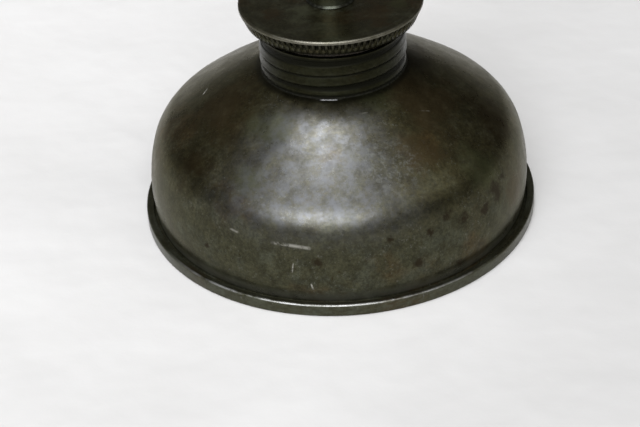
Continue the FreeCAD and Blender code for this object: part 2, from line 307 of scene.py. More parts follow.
def make_seam_ring():
    lip_radius, lip_drop = 45.7, 0.25
    inner_radius, gap, wear = 44.0, 0.02, 0.03
    floor = BOTTOM_EDGE - gap
    outline = rounded([
        (inner_radius, RIM_FOOT, 0.25),
        (RIM_RADIUS, RIM_FOOT, 0.25),
        (RIM_RADIUS, RIM_TOP, 0.6),
        (lip_radius, RIM_TOP - lip_drop, 0.2),
        (lip_radius, FLANGE_TOP + gap, 0.1),
        (FLANGE_RADIUS + gap, FLANGE_TOP + gap, 0),
        (FLANGE_RADIUS + gap, floor, 0),
        (inner_radius, floor, 0.15),
    ], 6)

    def column(angle):
        points = []
        for radius, height in outline:
            if height > FLANGE_TOP + 0.3:
                height -= wear + wear * wander(angle, 0, 12, 3)
            if radius > FLANGE_RADIUS + 0.3:
                radius -= wear + wear * wander(angle, height, 14, 4)
            points.append((radius, height))
        return points

    return turned("seam_rim", column, steps(0, 360, 360))


BOTTOM_RINGS = 5
BOTTOM_BEND, BOTTOM_FLAT = 43.2, 14.7   # the radii where the rings start and end
BOTTOM_RISE = DISC_TOP + 0.02 - BOTTOM_EDGE


def bottom_height(radius):
    """The underside of the spring bottom: flat rings, each with a soft riser at its outer edge."""
    part = (BOTTOM_BEND - radius) / (BOTTOM_BEND - BOTTOM_FLAT) * BOTTOM_RINGS
    if part <= 0:
        return BOTTOM_EDGE
    if part >= BOTTOM_RINGS:
        return BOTTOM_EDGE + BOTTOM_RISE
    ring = math.floor(part)
    return BOTTOM_EDGE + BOTTOM_RISE * (ring + ease(part - ring, 0, 0.4)) / BOTTOM_RINGS


def make_spring_bottom():
    thickness = 0.22
    radii = steps(FLANGE_RADIUS, BOTTOM_BEND, 3) + steps(BOTTOM_BEND, BOTTOM_FLAT, 100)[1:]
    radii += steps(BOTTOM_FLAT, 0, 8)[1:]
    under = [(radius, bottom_height(radius)) for radius in radii]
    over = [(radius, height + thickness) for radius, height in reversed(under)]
    outline = under + over
    return turned("spring_bottom_sheet", lambda angle: outline, steps(0, 360, 192))


def make_push_disc():
    dish = 0.25
    outline = divided(rounded([
        (0, DISC_UNDER + dish, 0),
        (DISC_RADIUS * 0.7, DISC_UNDER, 1.2),
        (DISC_RADIUS, DISC_UNDER, 0.4),
        (DISC_RADIUS, DISC_TOP, 0.1),
        (0, DISC_TOP, 0),
    ], 5), 1.0)
    return turned("thumb_disc", lambda angle: outline, steps(0, 360, 144))


# -------- threads

def thread_rows(angle, start, offsets, low, high):
    """Heights held between two limits, with a row at each offset from every turn of a thread."""
    first = start + PITCH * angle / 360
    turns = range(math.floor((low - start) / PITCH) - 1, math.ceil((high - start) / PITCH) + 1)
    return [min(max(first + PITCH * turn + offset, low), high)
            for turn in turns for offset in offsets]


def thread_rise(angle, height, start, turns, shape, fade=30):
    """How far a thread stands out at a place: shape is a line of (offset, rise) points."""
    rise = 0
    for turn in range(math.ceil(turns) + 1):
        along = angle + 360 * turn
        offset = height - start - PITCH * along / 360
        if 0 <= along <= turns * 360 and shape[0][0] <= offset <= shape[-1][0]:
            ends = ease(along, 0, fade) * ease(turns * 360 - along, 0, fade)
            rise = max(rise, follow(offset, shape) * ends)
    return rise


COLLAR_RADIUS, COLLAR_BORE, COLLAR_FOOT_RADIUS = 16.6, 15.7, 16.95
COLLAR_LIP_RADIUS = 17.12
FOOT_BAND_TOP = 40.4            # of the wider band at the collar's foot

# The neck's outer thread, from one sharp groove to the next, as (offset, rise) points: it hangs
# over the groove below it and slopes back to the one above.
GROOVE_START = 38.95
RIDGE = ((0, 0), (0.08, 0.02), (0.20, 0.34), (0.36, 0.50), (0.58, 0.55), (0.90, 0.50),
         (1.25, 0.38), (1.80, 0.30), (2.25, 0.20), (2.50, 0.08), (2.65, 0))
RIDGE_TURNS = 2.1

# The bore's thread, pressed out from inside, and the sleeve's thread that runs in it.
BORE_START, BORE_TURNS = 40.6, 3.4
BORE_GROOVE = ((-0.78, 0), (-0.42, 0.45), (0.42, 0.45), (0.78, 0))
SLEEVE_START, SLEEVE_TURNS = 43.25, 1.6
SLEEVE_RIDGE = ((-0.56, 0), (-0.40, 0.25), (-0.2, 0.47), (0, 0.5), (0.2, 0.47), (0.40, 0.25),
                (0.56, 0))


def make_neck_collar():
    low, high, bore_low = COLLAR_FOOT + 0.6, COLLAR_TOP - 1.35, COLLAR_FOOT + 0.9
    offsets = (0, 0.06, 0.12, 0.18, 0.24, 0.34, 0.45, 0.6, 0.78, 0.95, 1.2, 1.45, 1.7, 1.95,
               2.15, 2.35, 2.45, 2.55, 2.6)
    bore_offsets = (-1.1, -0.86, -0.78, -0.66, -0.54, -0.42, -0.2,
                    0, 0.2, 0.42, 0.54, 0.66, 0.78, 0.86, 1.1)
    run_in = 50                 # degrees over which the thread rises from the foot band
    swell_foot, swell_height, swell_rise = 38.7, 1.9, 0.06
    wear = 0.03
    lip = rounded([
        (COLLAR_RADIUS, high, 0),
        (COLLAR_LIP_RADIUS, COLLAR_TOP - 1.05, 0.18),
        (COLLAR_LIP_RADIUS - 0.02, COLLAR_TOP, 0.42),
    ], 6)[1:-1]

    def outer_radius(angle, height):
        above = thread_rise(angle, height, GROOVE_START, RIDGE_TURNS, RIDGE, run_in)
        groove = GROOVE_START + PITCH * angle / 360
        cut = ease(angle, 0, run_in)
        band_top = min(FOOT_BAND_TOP + (groove - 0.1 - FOOT_BAND_TOP) * cut, FOOT_BAND_TOP)
        part = min(max((height - swell_foot) / swell_height, 0), 1)
        swell = swell_rise * math.sin(math.pi * part)
        band = COLLAR_FOOT_RADIUS - COLLAR_RADIUS + swell
        return COLLAR_RADIUS + max(above, band * ease(-height, -band_top, -band_top + 1.5))

    def bore_radius(angle, height):
        return COLLAR_BORE + thread_rise(angle, height, BORE_START, BORE_TURNS, BORE_GROOVE)

    def column(angle):
        foot = dome_height(COLLAR_FOOT_RADIUS, 0.02)
        outside = [(outer_radius(angle, height), height)
                   for height in thread_rows(angle, GROOVE_START, offsets, low, high)]
        bore = [(bore_radius(angle, height), height)
                for height in thread_rows(angle, BORE_START, bore_offsets, bore_low, COLLAR_TOP)]
        wave = wear * wander(angle, 0, 12, 5)
        top = [(radius - wear + wave * ease(height, 46, 48), height) for radius, height in lip]
        return [(COLLAR_FOOT_RADIUS, foot), *outside, *top, *reversed(bore),
                (COLLAR_BORE, dome_height(COLLAR_BORE, 0.02))]

    return turned("threaded_collar", column, steps(0, 360, 288), 50)


def make_cap_sleeve():
    bore, outside = 14.6, 15.5
    offsets = (-0.9, -0.64, -0.56, -0.48, -0.4, -0.3, -0.2, -0.1,
               0, 0.1, 0.2, 0.3, 0.4, 0.48, 0.56, 0.64, 0.9)
    start = rounded([(bore, SLEEVE_END, 0.2), (outside, SLEEVE_END, 0.25),
                     (outside, CAP_FLOOR, 0)], 3)
    flange = rounded([(outside, CAP_FLOOR, 0), (SLEEVE_FLANGE, CAP_FLOOR, 0.15),
                      (SLEEVE_FLANGE, SLEEVE_TOP, 0.15), (bore, SLEEVE_TOP, 0.2)], 3)

    def column(angle):
        rows = thread_rows(angle, SLEEVE_START, offsets, SLEEVE_END + 0.3, CAP_FLOOR)
        wall = [(outside + thread_rise(angle, height, SLEEVE_START, SLEEVE_TURNS, SLEEVE_RIDGE),
                 height) for height in rows]
        return [*start[:-1], *wall, *flange]

    return turned("threaded_sleeve", column, steps(0, 360, 216), 50)


# -------- neck and cap

def make_neck_solder():
    foot = COLLAR_FOOT_RADIUS + 0.02
    bright_spot = 265.0         # the turning angle where the solder is broad and low, under its painted highlight

    def column(angle):
        swell = 0.5 + 0.5 * wander(angle, 0, 7, 6)
        near = ease(-abs(angle - bright_spot), -12, -7)
        width = 0.18 + 0.12 * swell + 0.36 * near
        rise = 0.16 + 0.12 * swell - 0.04 * near
        edge = foot + min(width, SOLDER_RADIUS - foot)
        corner = (foot + width * (0.36 + 0.14 * near),
                  dome_height(foot + width * 0.4) + rise * 0.36)
        base = dome_height(foot, 0.01)
        top = base + min(rise, SOLDER_TOP - dome_height(foot, 0.02))
        return [(foot, base), *curve((edge, dome_height(edge, 0.01)), corner, (foot, top), 7)]

    return turned("neck_solder_fillet", column, steps(0, 360, 288), 60)


def make_cap_washer():
    bore, fray = 15.62, 0.08
    outline = divided(rounded([
        (bore, WASHER_UNDER, 0.15),
        (WASHER_RADIUS - 0.15, WASHER_UNDER, 0.3),
        (WASHER_RADIUS, (WASHER_UNDER + WASHER_TOP) / 2, 0.5),
        (WASHER_RADIUS - 0.2, WASHER_TOP, 0.3),
        (bore, WASHER_TOP, 0.15),
    ], 4), 0.4)

    def column(angle):
        return [(radius - fray - fray * wander(angle, height, 5, 7) if radius > bore + 0.6
                 else radius, height) for radius, height in outline]

    return turned("leather_washer", column, steps(0, 360, 216))


KNURL_TEETH = 90
KNURL_DEPTH = 0.55
KNURL_TOP = CAP_TOP - 0.75      # the rolled edge over the teeth is left smooth
CREST_LEAN = 0.43               # how far a tooth's crest leans out, for each unit of height
CREST_FOOT = 20.82 - CREST_LEAN * 53.5  # and the radius that its line has down at the bench


def make_spout_cap():
    crest_radius, top_radius, inner_radius, hole = 21.2, 20.2, 18.85, 5.22
    sheet, sag = 0.85, 0.05
    under = CAP_TOP - sheet
    side = [(19.72, CAP_FLOOR), (19.98, CAP_FLOOR + 0.4), (20.28, CAP_FLOOR + 1.2),
            (20.62, CAP_FLOOR + 2.0), (20.95, CAP_FLOOR + 2.7)]
    outline = divided(rounded([
        (hole, under, 0),
        (inner_radius, under, 0.5),
        (inner_radius, CAP_FLOOR, 0.2),
        *[(*spot, 0.2) for spot in side],
        (crest_radius, KNURL_TOP, 0.1),
        (crest_radius, CAP_TOP - 0.02, 0.48),
        (top_radius, CAP_TOP - 0.02, 0.3),
        (hole, CAP_TOP - 0.04, 0),
    ], 6), 0.32)

    def tooth(angle, height):
        """How deep the knurl is cut at a place, from the crest of a tooth."""
        along = angle * KNURL_TEETH / 360
        across = abs(along % 1 - 0.5) * 2
        depth = KNURL_DEPTH * (0.9 + 0.2 * wander(math.floor(along) * 4, 0, 5, 8))
        low = CAP_FLOOR + 0.3 + 0.15 * wander(angle, 0, 9, 9)
        upright = (ease(height, low, low + 1.9)
                   * ease(-height, -KNURL_TOP - 0.06, -KNURL_TOP + 0.14))
        return depth * ease(across, 0.28, 0.76) * upright

    def column(angle):
        points = []
        for radius, height in outline:
            if radius > inner_radius + 0.5:
                radius -= tooth(angle, height)
            if radius < 19.4 and height > CAP_TOP - 0.2:
                height -= sag + sag * wander(angle, radius, 11, 10) * ease(-radius, -19.4, -17)
            points.append((radius, min(height, CAP_TOP)))
        return points

    return turned("knurled_cap", column, steps(0, 360, KNURL_TEETH * 8), 42)


# -------- spout

SPOUT_RADIUS, SPOUT_SHEET = 5.2, 0.6
SPOUT_END_RADIUS, SPOUT_END_BORE = 1.75, 1.25
TAPER_FOOT = CAP_TOP + 3.0      # the spout's root is straight below this
LAP_EDGE = 98.5                 # the turning angle where the spout's lapped seam steps down
LAP_WEAR_AZIMUTH = 171          # the middle of the raised lap, which is rubbed


def spout_radius(height):
    """The outside of the spout at a height above the cap."""
    return follow(height, ((TAPER_FOOT, SPOUT_RADIUS), (SPOUT_END, SPOUT_END_RADIUS)))


def make_spout_tube():
    lap_rise, wear = 0.285, 0.05
    flare_top = SPOUT_UNDER + SPOUT_SHEET
    outside = [(spout_radius(height), height) for height in steps(TAPER_FOOT, SPOUT_END, 70)]
    root = rounded([(SPOUT_RADIUS - SPOUT_SHEET, SPOUT_UNDER, 0.4), (SPOUT_FLARE, SPOUT_UNDER, 0.2),
                    (SPOUT_FLARE, flare_top, 0.2), (SPOUT_RADIUS, flare_top, 0.25),
                    (SPOUT_RADIUS, TAPER_FOOT - 0.4, 0)], 4)
    inside = [(SPOUT_END_BORE, SPOUT_END), (SPOUT_RADIUS - SPOUT_SHEET, TAPER_FOOT)]

    def column(angle):
        ramp = ease(angle, 64, 90) * (angle <= LAP_EDGE)
        points = []
        for radius, height in [*root, *outside, *divided(inside, 12)[:9]]:
            free = ease(height, TAPER_FOOT, TAPER_FOOT + 3) * ease(-height, -155, -152)
            if radius >= spout_radius(height) - 0.01:
                radius += lap_rise * ramp * free
                radius -= wear * free * (1 + wander(angle, height, 13, 11))
            points.append((radius, height))
        return points

    angles = sorted(steps(0, 360, 96) + [LAP_EDGE, LAP_EDGE + 0.4, LAP_EDGE - 1.2])
    return turned("rolled_spout", column, angles, 40)


def make_spout_solder():
    foot = SPOUT_RADIUS + 0.02
    room = BEAD_RADIUS - foot

    def column(angle):
        swell = 0.5 + 0.5 * wander(angle * 3, 0, 14, 12)
        width = room * (0.55 + 0.2 * swell)
        rise = (BEAD_TOP - BEAD_FOOT) * (0.5 + 0.2 * swell)
        corner = (foot + width * 0.55, BEAD_FOOT + rise * 0.55)
        return [(foot, BEAD_FOOT),
                *curve((foot + width, BEAD_FOOT), corner, (foot, BEAD_FOOT + rise), 6)]

    return turned("spout_solder_bead", column, steps(0, 360, 144), 60)


def make_spout_tip():
    gap, taper = 0.02, 0.034
    grip, groove = SPOUT_END_RADIUS + gap, TIP_COLLAR - 0.18
    shoulder = SPOUT_END + 1.2
    jet_foot, jet_top, bore = 1.45, 1.25, 0.7
    outline = divided(rounded([
        (grip + (SPOUT_END - TIP_UNDER) * taper, TIP_UNDER, 0),
        (TIP_COLLAR, TIP_UNDER, 0.25),
        (TIP_COLLAR, TIP_UNDER + 1.5, 0.12),
        (groove, TIP_UNDER + 1.7, 0.1),
        (groove, TIP_UNDER + 2.1, 0.1),
        (TIP_COLLAR, TIP_UNDER + 2.3, 0.12),
        (TIP_COLLAR, shoulder, 0.4),
        (jet_foot, shoulder + 0.8, 0.3),
        (jet_top, TIP_TOP, 0.2),
        (bore, TIP_TOP, 0.15),
        (bore, SPOUT_END + gap, 0),
        (grip, SPOUT_END + gap, 0),
    ], 4), 0.8)
    return turned("turned_nozzle", lambda angle: outline, steps(0, 360, 96))


# -------- node trees

class Nodes:
    """Adds nodes to a tree by short calls. An input is a socket, a number or a colour."""

    def __init__(self, tree):
        self.tree = tree

    def add(self, kind, inputs=None, **settings):
        node = self.tree.nodes.new(f"ShaderNode{kind}")
        for name, setting in settings.items():
            setattr(node, name, setting)
        for key, given in (inputs or {}).items():
            self.feed(node.inputs[key], given)
        return node

    def feed(self, socket, given):
        if isinstance(given, bpy.types.NodeSocket):
            self.tree.links.new(given, socket)
        elif isinstance(given, (tuple, Vector)) and len(given) == 3 and socket.type == "RGBA":
            socket.default_value = (*given, 1)
        else:
            socket.default_value = given

    def math(self, operation, *inputs):
        return self.add("Math", dict(enumerate(inputs)), operation=operation).outputs[0]

    def vector(self, operation, *inputs):
        places = (0, 3) if operation == "SCALE" else range(len(inputs))
        node = self.add("VectorMath", dict(zip(places, inputs)), operation=operation)
        number = operation in ("DOT_PRODUCT", "LENGTH", "DISTANCE")
        return node.outputs["Value" if number else "Vector"]

    def chain(self, operation, first, others):
        for other in others:
            first = self.math(operation, first, other)
        return first

    def plus(self, first, *others):
        return self.chain("ADD", first, others)

    def minus(self, first, other):
        return self.math("SUBTRACT", first, other)

    def times(self, first, *others):
        return self.chain("MULTIPLY", first, others)

    def most(self, first, *others):
        return self.chain("MAXIMUM", first, others)

    def ramp(self, given, low, high, start=0.0, end=1.0):
        """start below low, end above high, and a smooth run between. low may be the larger."""
        inputs = {"From Min": low, "From Max": high, "To Min": start, "To Max": end}
        if low > high:
            inputs = {"From Min": high, "From Max": low, "To Min": end, "To Max": start}
        node = self.add("MapRange", {"Value": given, **inputs}, interpolation_type="SMOOTHSTEP")
        return node.outputs["Result"]

    def window(self, given, *edges):
        """1 between two smooth edges, and 0 outside them. An edge is (where it is 0, and 1)."""
        return self.times(*[self.ramp(given, *edge) for edge in edges])

    def between(self, factor, first, second):
        """A number that goes from first to second as factor goes from 0 to 1."""
        node = self.add("Mix", {0: factor, 2: first, 3: second}, data_type="FLOAT")
        return node.outputs[0]

    def tint(self, factor, first, second, blend="MIX"):
        """A colour that goes from first to second as factor goes from 0 to 1."""
        node = self.add("Mix", {0: factor, 6: first, 7: second}, data_type="RGBA",
                        blend_type=blend)
        return node.outputs[2]


class Finish(Nodes):
    """A material in the making, with its colour and roughness so far. Sizes are in millimetres."""

    def __init__(self, name):
        self.material = bpy.data.materials.new(name)
        self.material.use_nodes = True
        super().__init__(self.material.node_tree)
        self.shader = self.tree.nodes["Principled BSDF"]
        spot = self.add("TexCoord").outputs["Object"]
        self.spot = self.vector("MULTIPLY", spot, (1 / MM,) * 3)
        self.across, along, self.height = self.add("SeparateXYZ", {0: self.spot}).outputs
        self.radius = self.vector("LENGTH", self.vector("MULTIPLY", self.spot, (1, 1, 0)))
        turn = self.math("ARCTAN2", self.across, self.times(along, -1.0))
        self.azimuth = self.math("DEGREES", turn)

    def paint(self, stain, *masks, blend="MIX"):
        """Tint the colour towards another, where every mask is 1. A mask may be a number."""
        self.colour = self.tint(self.times(*masks), self.colour, stain, blend)

    def scale(self, factor):
        self.colour = self.vector("SCALE", self.colour, factor)

    def noise(self, size, detail, rough, seed, stretch=(1, 1, 1)):
        """Cloudy noise from about 0.25 to 0.75, whose lumps are about size across."""
        spot = self.vector("MULTIPLY", self.spot, tuple(part / size for part in stretch))
        spot = self.vector("ADD", spot, (seed * 3.7, seed * 1.9, seed * 5.3))
        return self.add("TexNoise", {"Vector": spot, "Scale": 1.0, "Detail": detail,
                                     "Roughness": rough}).outputs[0]

    def patches(self, size, detail, rough, seed, low, high, *ends, **more):
        """Patches of noise, as a ramp."""
        return self.ramp(self.noise(size, detail, rough, seed, **more), low, high, *ends)

    def flecks(self, size, seed):
        """The distance to the nearest of many scattered points, in parts of their spacing."""
        spot = self.vector("MULTIPLY", self.spot, (1 / size,) * 3)
        spot = self.vector("ADD", spot, (seed * 2.3, seed * 4.1, seed * 1.3))
        return self.add("TexVoronoi", {"Vector": spot, "Scale": 1.0}).outputs["Distance"]

    def blot(self, centre, size, ragged, seed):
        """A ragged round spot: 1 in its middle and 0 outside."""
        edge = self.minus(self.noise(size * 0.9, 5, 0.7, seed), 0.5)
        away = self.vector("DISTANCE", self.spot, tuple(centre))
        away = self.plus(away, self.times(edge, size * 2 * ragged))
        return self.ramp(away, size * 1.12, size * 0.15)

    def streak(self, start, end, width, seed):
        """A thin broken line from one place to another."""
        start, end = Vector(start), Vector(end)
        along = (end - start).normalized()
        length = (end - start).length
        from_start = self.vector("SUBTRACT", self.spot, tuple(start))
        reach = self.vector("DOT_PRODUCT", from_start, tuple(along))
        nearest = self.add("CombineXYZ", {0: reach, 1: reach, 2: reach}).outputs[0]
        nearest = self.vector("MULTIPLY", nearest, tuple(along))
        off = self.vector("LENGTH", self.vector("SUBTRACT", from_start, nearest))
        ends = self.window(reach, (-width, width), (length + width, length - width))
        broken = self.ramp(self.noise(width * 3, 3, 0.7, seed), 0.36, 0.56)
        return self.times(self.ramp(off, width, width * 0.2), ends, broken)

    def bump(self, *layers):
        """Feed the normal from (height, depth in millimetres) layers."""
        normal = None
        for height, depth in layers:
            inputs = {"Height": height, "Distance": depth * MM, "Strength": 1.0}
            if normal:
                inputs["Normal"] = normal
            normal = self.add("Bump", inputs).outputs["Normal"]
        self.feed(self.shader.inputs["Normal"], normal)

    def finish(self, metal=0.0, coat=0.0, coat_rough=0.03, **more):
        """Feed the shader: underscores in a name stand for spaces."""
        more.update(Base_Color=self.colour, Roughness=self.rough, Metallic=metal,
                    Coat_Weight=coat, Coat_Roughness=coat_rough)
        for name, given in more.items():
            self.feed(self.shader.inputs[name.replace("_", " ")], given)
        return self.material


# -------- finishes

# Colours of the old steel, as linear red, green and blue.
OLIVE = (0.047, 0.046, 0.026)
BROWN = (0.053, 0.037, 0.016)
DARK_BROWN = (0.026, 0.017, 0.006)
GREY_GREEN = (0.068, 0.072, 0.050)
MOSS = (0.062, 0.066, 0.030)
PALE_GREEN = (0.105, 0.115, 0.075)
VERDIGRIS = (0.082, 0.094, 0.070)
PALE_WEAR = (0.15, 0.15, 0.138)
PALE_SPECK = (0.130, 0.132, 0.108)
# RUBBED_WEAR_AND_SHEEN is rubbed wear and a painted sheen, for the front of the dome where the
# highlight falls.
RUBBED_WEAR_AND_SHEEN = (0.104, 0.108, 0.114)
HAZE = (0.16, 0.165, 0.15)
RUST = (0.019, 0.013, 0.006)
DUST = (0.36, 0.35, 0.31)
# The next two are painted light and painted shade: a pale lift for the wall's foot, drawn as dust,
# and a near black for shade, with some grime.
FOOT_DUST_AND_LIGHT = (0.085, 0.085, 0.064)
SHADE_AND_GRIME = (0.008, 0.008, 0.005)
AGED = (1.0, 0.88, 0.66)        # what yellowed oil multiplies a colour by
OILED = (1.0, 0.95, 0.82)
BLACKENED = (0.30, 0.30, 0.235)

# Bare metal, where it is worn. The rim's and the cap's top edges also carry a painted highlight at
# the front.
RIM_EDGE_WEAR_AND_HIGHLIGHT, RIM_FACE = (0.34, 0.34, 0.33), (0.082, 0.086, 0.060)
DISC_BARE = (0.24, 0.235, 0.215)
COLLAR_CREST = (0.036, 0.036, 0.024)
CAP_EDGE_WEAR_AND_HIGHLIGHT, CAP_TEETH, CAP_RING = (0.18, 0.18, 0.17), (0.13, 0.13, 0.115), (0.10, 0.108, 0.085)
SLEEVE_CREST = (0.30, 0.295, 0.27)
SPOUT_LAP, TIP_BARE = (0.22, 0.22, 0.205), (0.20, 0.20, 0.18)

# Solder and leather, each as a dark and a light colour. The collar's solder is painted near black
# as shade, and the bare solder colours are painted highlights.
SOLDER_DARK, SOLDER_LIGHT = (0.004, 0.004, 0.003), (0.012, 0.012, 0.008)
SOLDER_WORN, SOLDER_GLINT = (0.03, 0.03, 0.025), (0.26, 0.26, 0.255)
BEAD_DARK, BEAD_LIGHT = (0.012, 0.012, 0.008), (0.030, 0.032, 0.024)
BEAD_GLINT = (0.080, 0.086, 0.066)
LEATHER_DARK, LEATHER_LIGHT = (0.010, 0.008, 0.005), (0.030, 0.021, 0.012)
LEATHER_PORE = (0.004, 0.003, 0.002)

# Stains on the top of the cap: across, along, size and colour.
CAP_STAINS = ((-6.3, -7.0, 4.5, PALE_GREEN), (9.5, -9.5, 5.5, BROWN), (-13.0, -7.0, 3.5, BROWN),
              (15.0, -4.0, 3.5, MOSS), (6.0, 11.0, 6.0, BROWN), (-9.0, 9.0, 5.5, PALE_GREEN))

# Large stains on the tank: azimuth, height, size and colour.
STAINS = ((-66, 33, 11, BROWN), (-56, 25, 6, DARK_BROWN), (58, 35, 11, BROWN),
          (74, 27, 8, DARK_BROWN), (34, 30, 6, BROWN), (100, 38, 11, DARK_BROWN),
          (-36, 34, 7, MOSS), (28, 38, 6, MOSS), (-33, 27, 5, MOSS), (52, 24, 6, MOSS),
          (64, 14, 7, BROWN), (-80, 17, 6, BROWN), (150, 30, 11, BROWN),
          (-140, 30, 12, DARK_BROWN), (195, 18, 10, BROWN))


class OldSteel(Finish):
    """Old oiled steel in olive, brown and grey-green, before a piece's own marks."""

    def __init__(self, name, seed, wear, brown):
        super().__init__(name)
        cloud = self.noise(5, 5, 0.6, seed + 1)
        self.grain = self.noise(0.8, 4, 0.65, seed + 2)
        browned = self.patches(17, 3, 0.55, seed, 0.58 - 0.16 * brown, 0.72 - 0.16 * brown)
        self.colour = self.tint(self.times(browned, self.ramp(cloud, 0.32, 0.58)), OLIVE, BROWN)
        self.paint(GREY_GREEN, self.ramp(cloud, 0.46, 0.66),
                   self.ramp(self.grain, 0.30, 0.66, 0.4, 1.0), 0.8)
        self.paint(PALE_WEAR, self.patches(1.5, 5, 0.75, seed + 4, 0.60, 0.74), wear)
        self.scale(self.patches(0.7, 4, 0.75, seed + 5, 0.32, 0.68, 0.74, 1.26))
        rough = self.between(self.ramp(cloud, 0.32, 0.68), 0.28, 0.38)
        self.rough = self.plus(rough, self.times(self.minus(self.grain, 0.5), 0.2))


def stain_tank(steel):
    """The tank's stains and specks, and its rubbed front with a painted sheen."""
    steel.paint(AGED, steel.ramp(steel.height, 14, 27), 0.75, blend="MULTIPLY")
    steel.scale(steel.patches(3.4, 5, 0.7, 27, 0.34, 0.66, 0.76, 1.24))
    specks = steel.noise(0.8, 5, 0.8, 24)
    cluster = steel.patches(9, 4, 0.6, 25, 0.42, 0.62, 0.25, 1.0)
    steel.paint(PALE_SPECK, steel.ramp(specks, 0.57, 0.66), cluster, 0.8)
    steel.paint(DARK_BROWN, steel.ramp(specks, 0.43, 0.35), cluster, 0.75)
    for index, (azimuth, height, size, stain) in enumerate(STAINS):
        steel.paint(stain, steel.blot(wall_point(azimuth, height), size, 1.5, 60 + index), 0.7)
    # The front of the dome, where the highlight falls, is painted paler and bluish grey: rubbed
    # wear and a painted sheen.
    steel.paint(RUBBED_WEAR_AND_SHEEN, steel.window(steel.azimuth, (-55, -20), (36, 4)),
                steel.window(steel.radius, (45.4, 42), (17, 24)),
                steel.patches(2.6, 5, 0.7, 21, 0.36, 0.66, 0.4, 1.0), 0.8)
    steel.paint(HAZE, steel.blot(wall_point(19, 29.5), 9.5, 1.1, 4),
                steel.patches(1.1, 5, 0.75, 5, 0.50, 0.60), 0.35)


def tank_rust(steel):
    """Where the tank is rusty: the spots of the photo, and scattered pits."""
    rust = steel.times(steel.ramp(steel.flecks(6.5, 2), 0.13, 0.07),
                       steel.patches(11, 2, 0.5, 8, 0.52, 0.60), 0.6)
    for index, (azimuth, height, size) in enumerate(RUST_SPOTS):
        spot = steel.blot(wall_point(azimuth, height), size * 1.1, 1.4, index)
        rust = steel.most(rust, spot)
    return rust


def tank_scratches(steel):
    """Where the tank is scratched or chipped down to a pale mark."""
    lines = [(DING, 0.6, 3, 0.6), (NICK, 0.45, 6, 0.45), (LONG_SCRATCH, 0.22, 9, 0.3)]
    lines += [(chip, 0.28, 70 + index, 0.9) for index, chip in enumerate(CHIPS)]
    return steel.most(*[
        steel.times(steel.streak(*[wall_point(*end) for end in ends], width, seed), strength)
        for ends, width, seed, strength in lines])


def tank_finish():
    steel = OldSteel("tank_steel_patina", 1, wear=0.5, brown=0.05)
    stain_tank(steel)
    # Painted light: the foot of the wall above the rim is painted paler, drawn as patchy dust, to
    # lift its dark reflection. It is also less metallic there.
    foot_dust_and_light = steel.times(steel.window(steel.height, (5.6, 3.6), (2.2, 2.9)),
                        steel.patches(3.0, 5, 0.65, 26, 0.25, 0.55, 0.55, 1.0))
    steel.paint(FOOT_DUST_AND_LIGHT, foot_dust_and_light, 0.7)
    rust = tank_rust(steel)
    steel.paint(RUST, rust, 0.9)
    foot = COLLAR_FOOT_RADIUS
    # Painted shade: the dome is darkened close round the collar's foot, and a painted shadow lies
    # beside the collar on its right, towards the back.
    shade_near_collar = steel.ramp(steel.radius, foot + 2.0, foot + 0.7)
    shadow_beside_collar = steel.times(steel.ramp(steel.radius, foot + 9, foot + 1),
                                steel.window(steel.azimuth, (50, 95), (165, 130)))
    steel.paint(SHADE_AND_GRIME, steel.most(steel.times(shade_near_collar, 0.75), steel.times(shadow_beside_collar, 0.7)))
    marks = tank_scratches(steel)
    steel.paint(DUST, marks)
    steel.rough = steel.plus(steel.rough, steel.times(rust, 0.08))
    steel.bump((steel.noise(7, 3, 0.5, 14), 0.07), (steel.noise(2.2, 4, 0.6, 15), 0.022),
               (steel.grain, 0.010), (rust, -0.02))
    metal = steel.between(steel.most(marks, steel.times(foot_dust_and_light, 0.6)), 0.9, 0.3)
    return steel.finish(metal, 0.04, 0.2, Specular_Tint=(0.78, 0.765, 0.70))


def rim_finish():
    steel = OldSteel("rim_steel_patina", 6, wear=0.9, brown=0.3)
    # The rim's top outer edge is painted pale, more so at the front: rubbed wear and a painted
    # highlight.
    top_edge = steel.times(steel.ramp(steel.radius, RIM_RADIUS - 0.8, RIM_RADIUS - 0.5),
                           steel.ramp(steel.height, RIM_TOP - 0.45, RIM_TOP - 0.2))
    steel.paint(RIM_EDGE_WEAR_AND_HIGHLIGHT, top_edge, steel.patches(4.5, 4, 0.6, 31, 0.34, 0.56),
                steel.window(steel.azimuth, (-65, -30), (50, 20)), 0.8)
    steel.paint(RIM_FACE, steel.ramp(steel.radius, RIM_RADIUS - 0.3, RIM_RADIUS - 0.1),
                steel.patches(1.8, 5, 0.7, 33, 0.46, 0.62, stretch=(1, 1, 2)), 0.5)
    # Painted shade with some grime: darker inside the lip and down in the groove.
    shade_and_grime = steel.times(steel.ramp(steel.radius, 46.5, 45.9), steel.ramp(steel.height, 1.5, 2.2))
    steel.paint(SHADE_AND_GRIME, shade_and_grime, 0.35)
    steel.rough = steel.plus(steel.rough, steel.times(shade_and_grime, 0.25))
    steel.bump((steel.noise(5, 3, 0.5, 32), 0.04), (steel.grain, 0.014))
    return steel.finish(0.88, 0.1, 0.25)


def lathe_rings(steel, spacing):
    """Fine rings round the axis, from -1 to 1."""
    return steel.math("SINE", steel.times(steel.radius, 2 * math.pi / spacing))


def bottom_finish():
    steel = OldSteel("spring_steel_patina", 11, wear=0.9, brown=0.8)
    steel.paint(PALE_WEAR, steel.ramp(steel.radius, 16, 12.5), 0.8)
    steel.bump((steel.noise(6, 3, 0.5, 42), 0.06), (lathe_rings(steel, 0.7), 0.003),
               (steel.grain, 0.012))
    return steel.finish(0.88, 0.1, 0.3)


def disc_finish():
    steel = OldSteel("disc_steel_rubbed", 16, wear=1.0, brown=0.4)
    steel.paint(DISC_BARE, steel.ramp(steel.radius, 12.0, 6.0),
                steel.patches(4, 4, 0.6, 51, 0.3, 0.6), 0.8)
    steel.rough = steel.times(steel.rough, 0.9)
    steel.bump((lathe_rings(steel, 0.55), 0.003), (steel.grain, 0.012))
    return steel.finish(0.9, 0.1, 0.25)


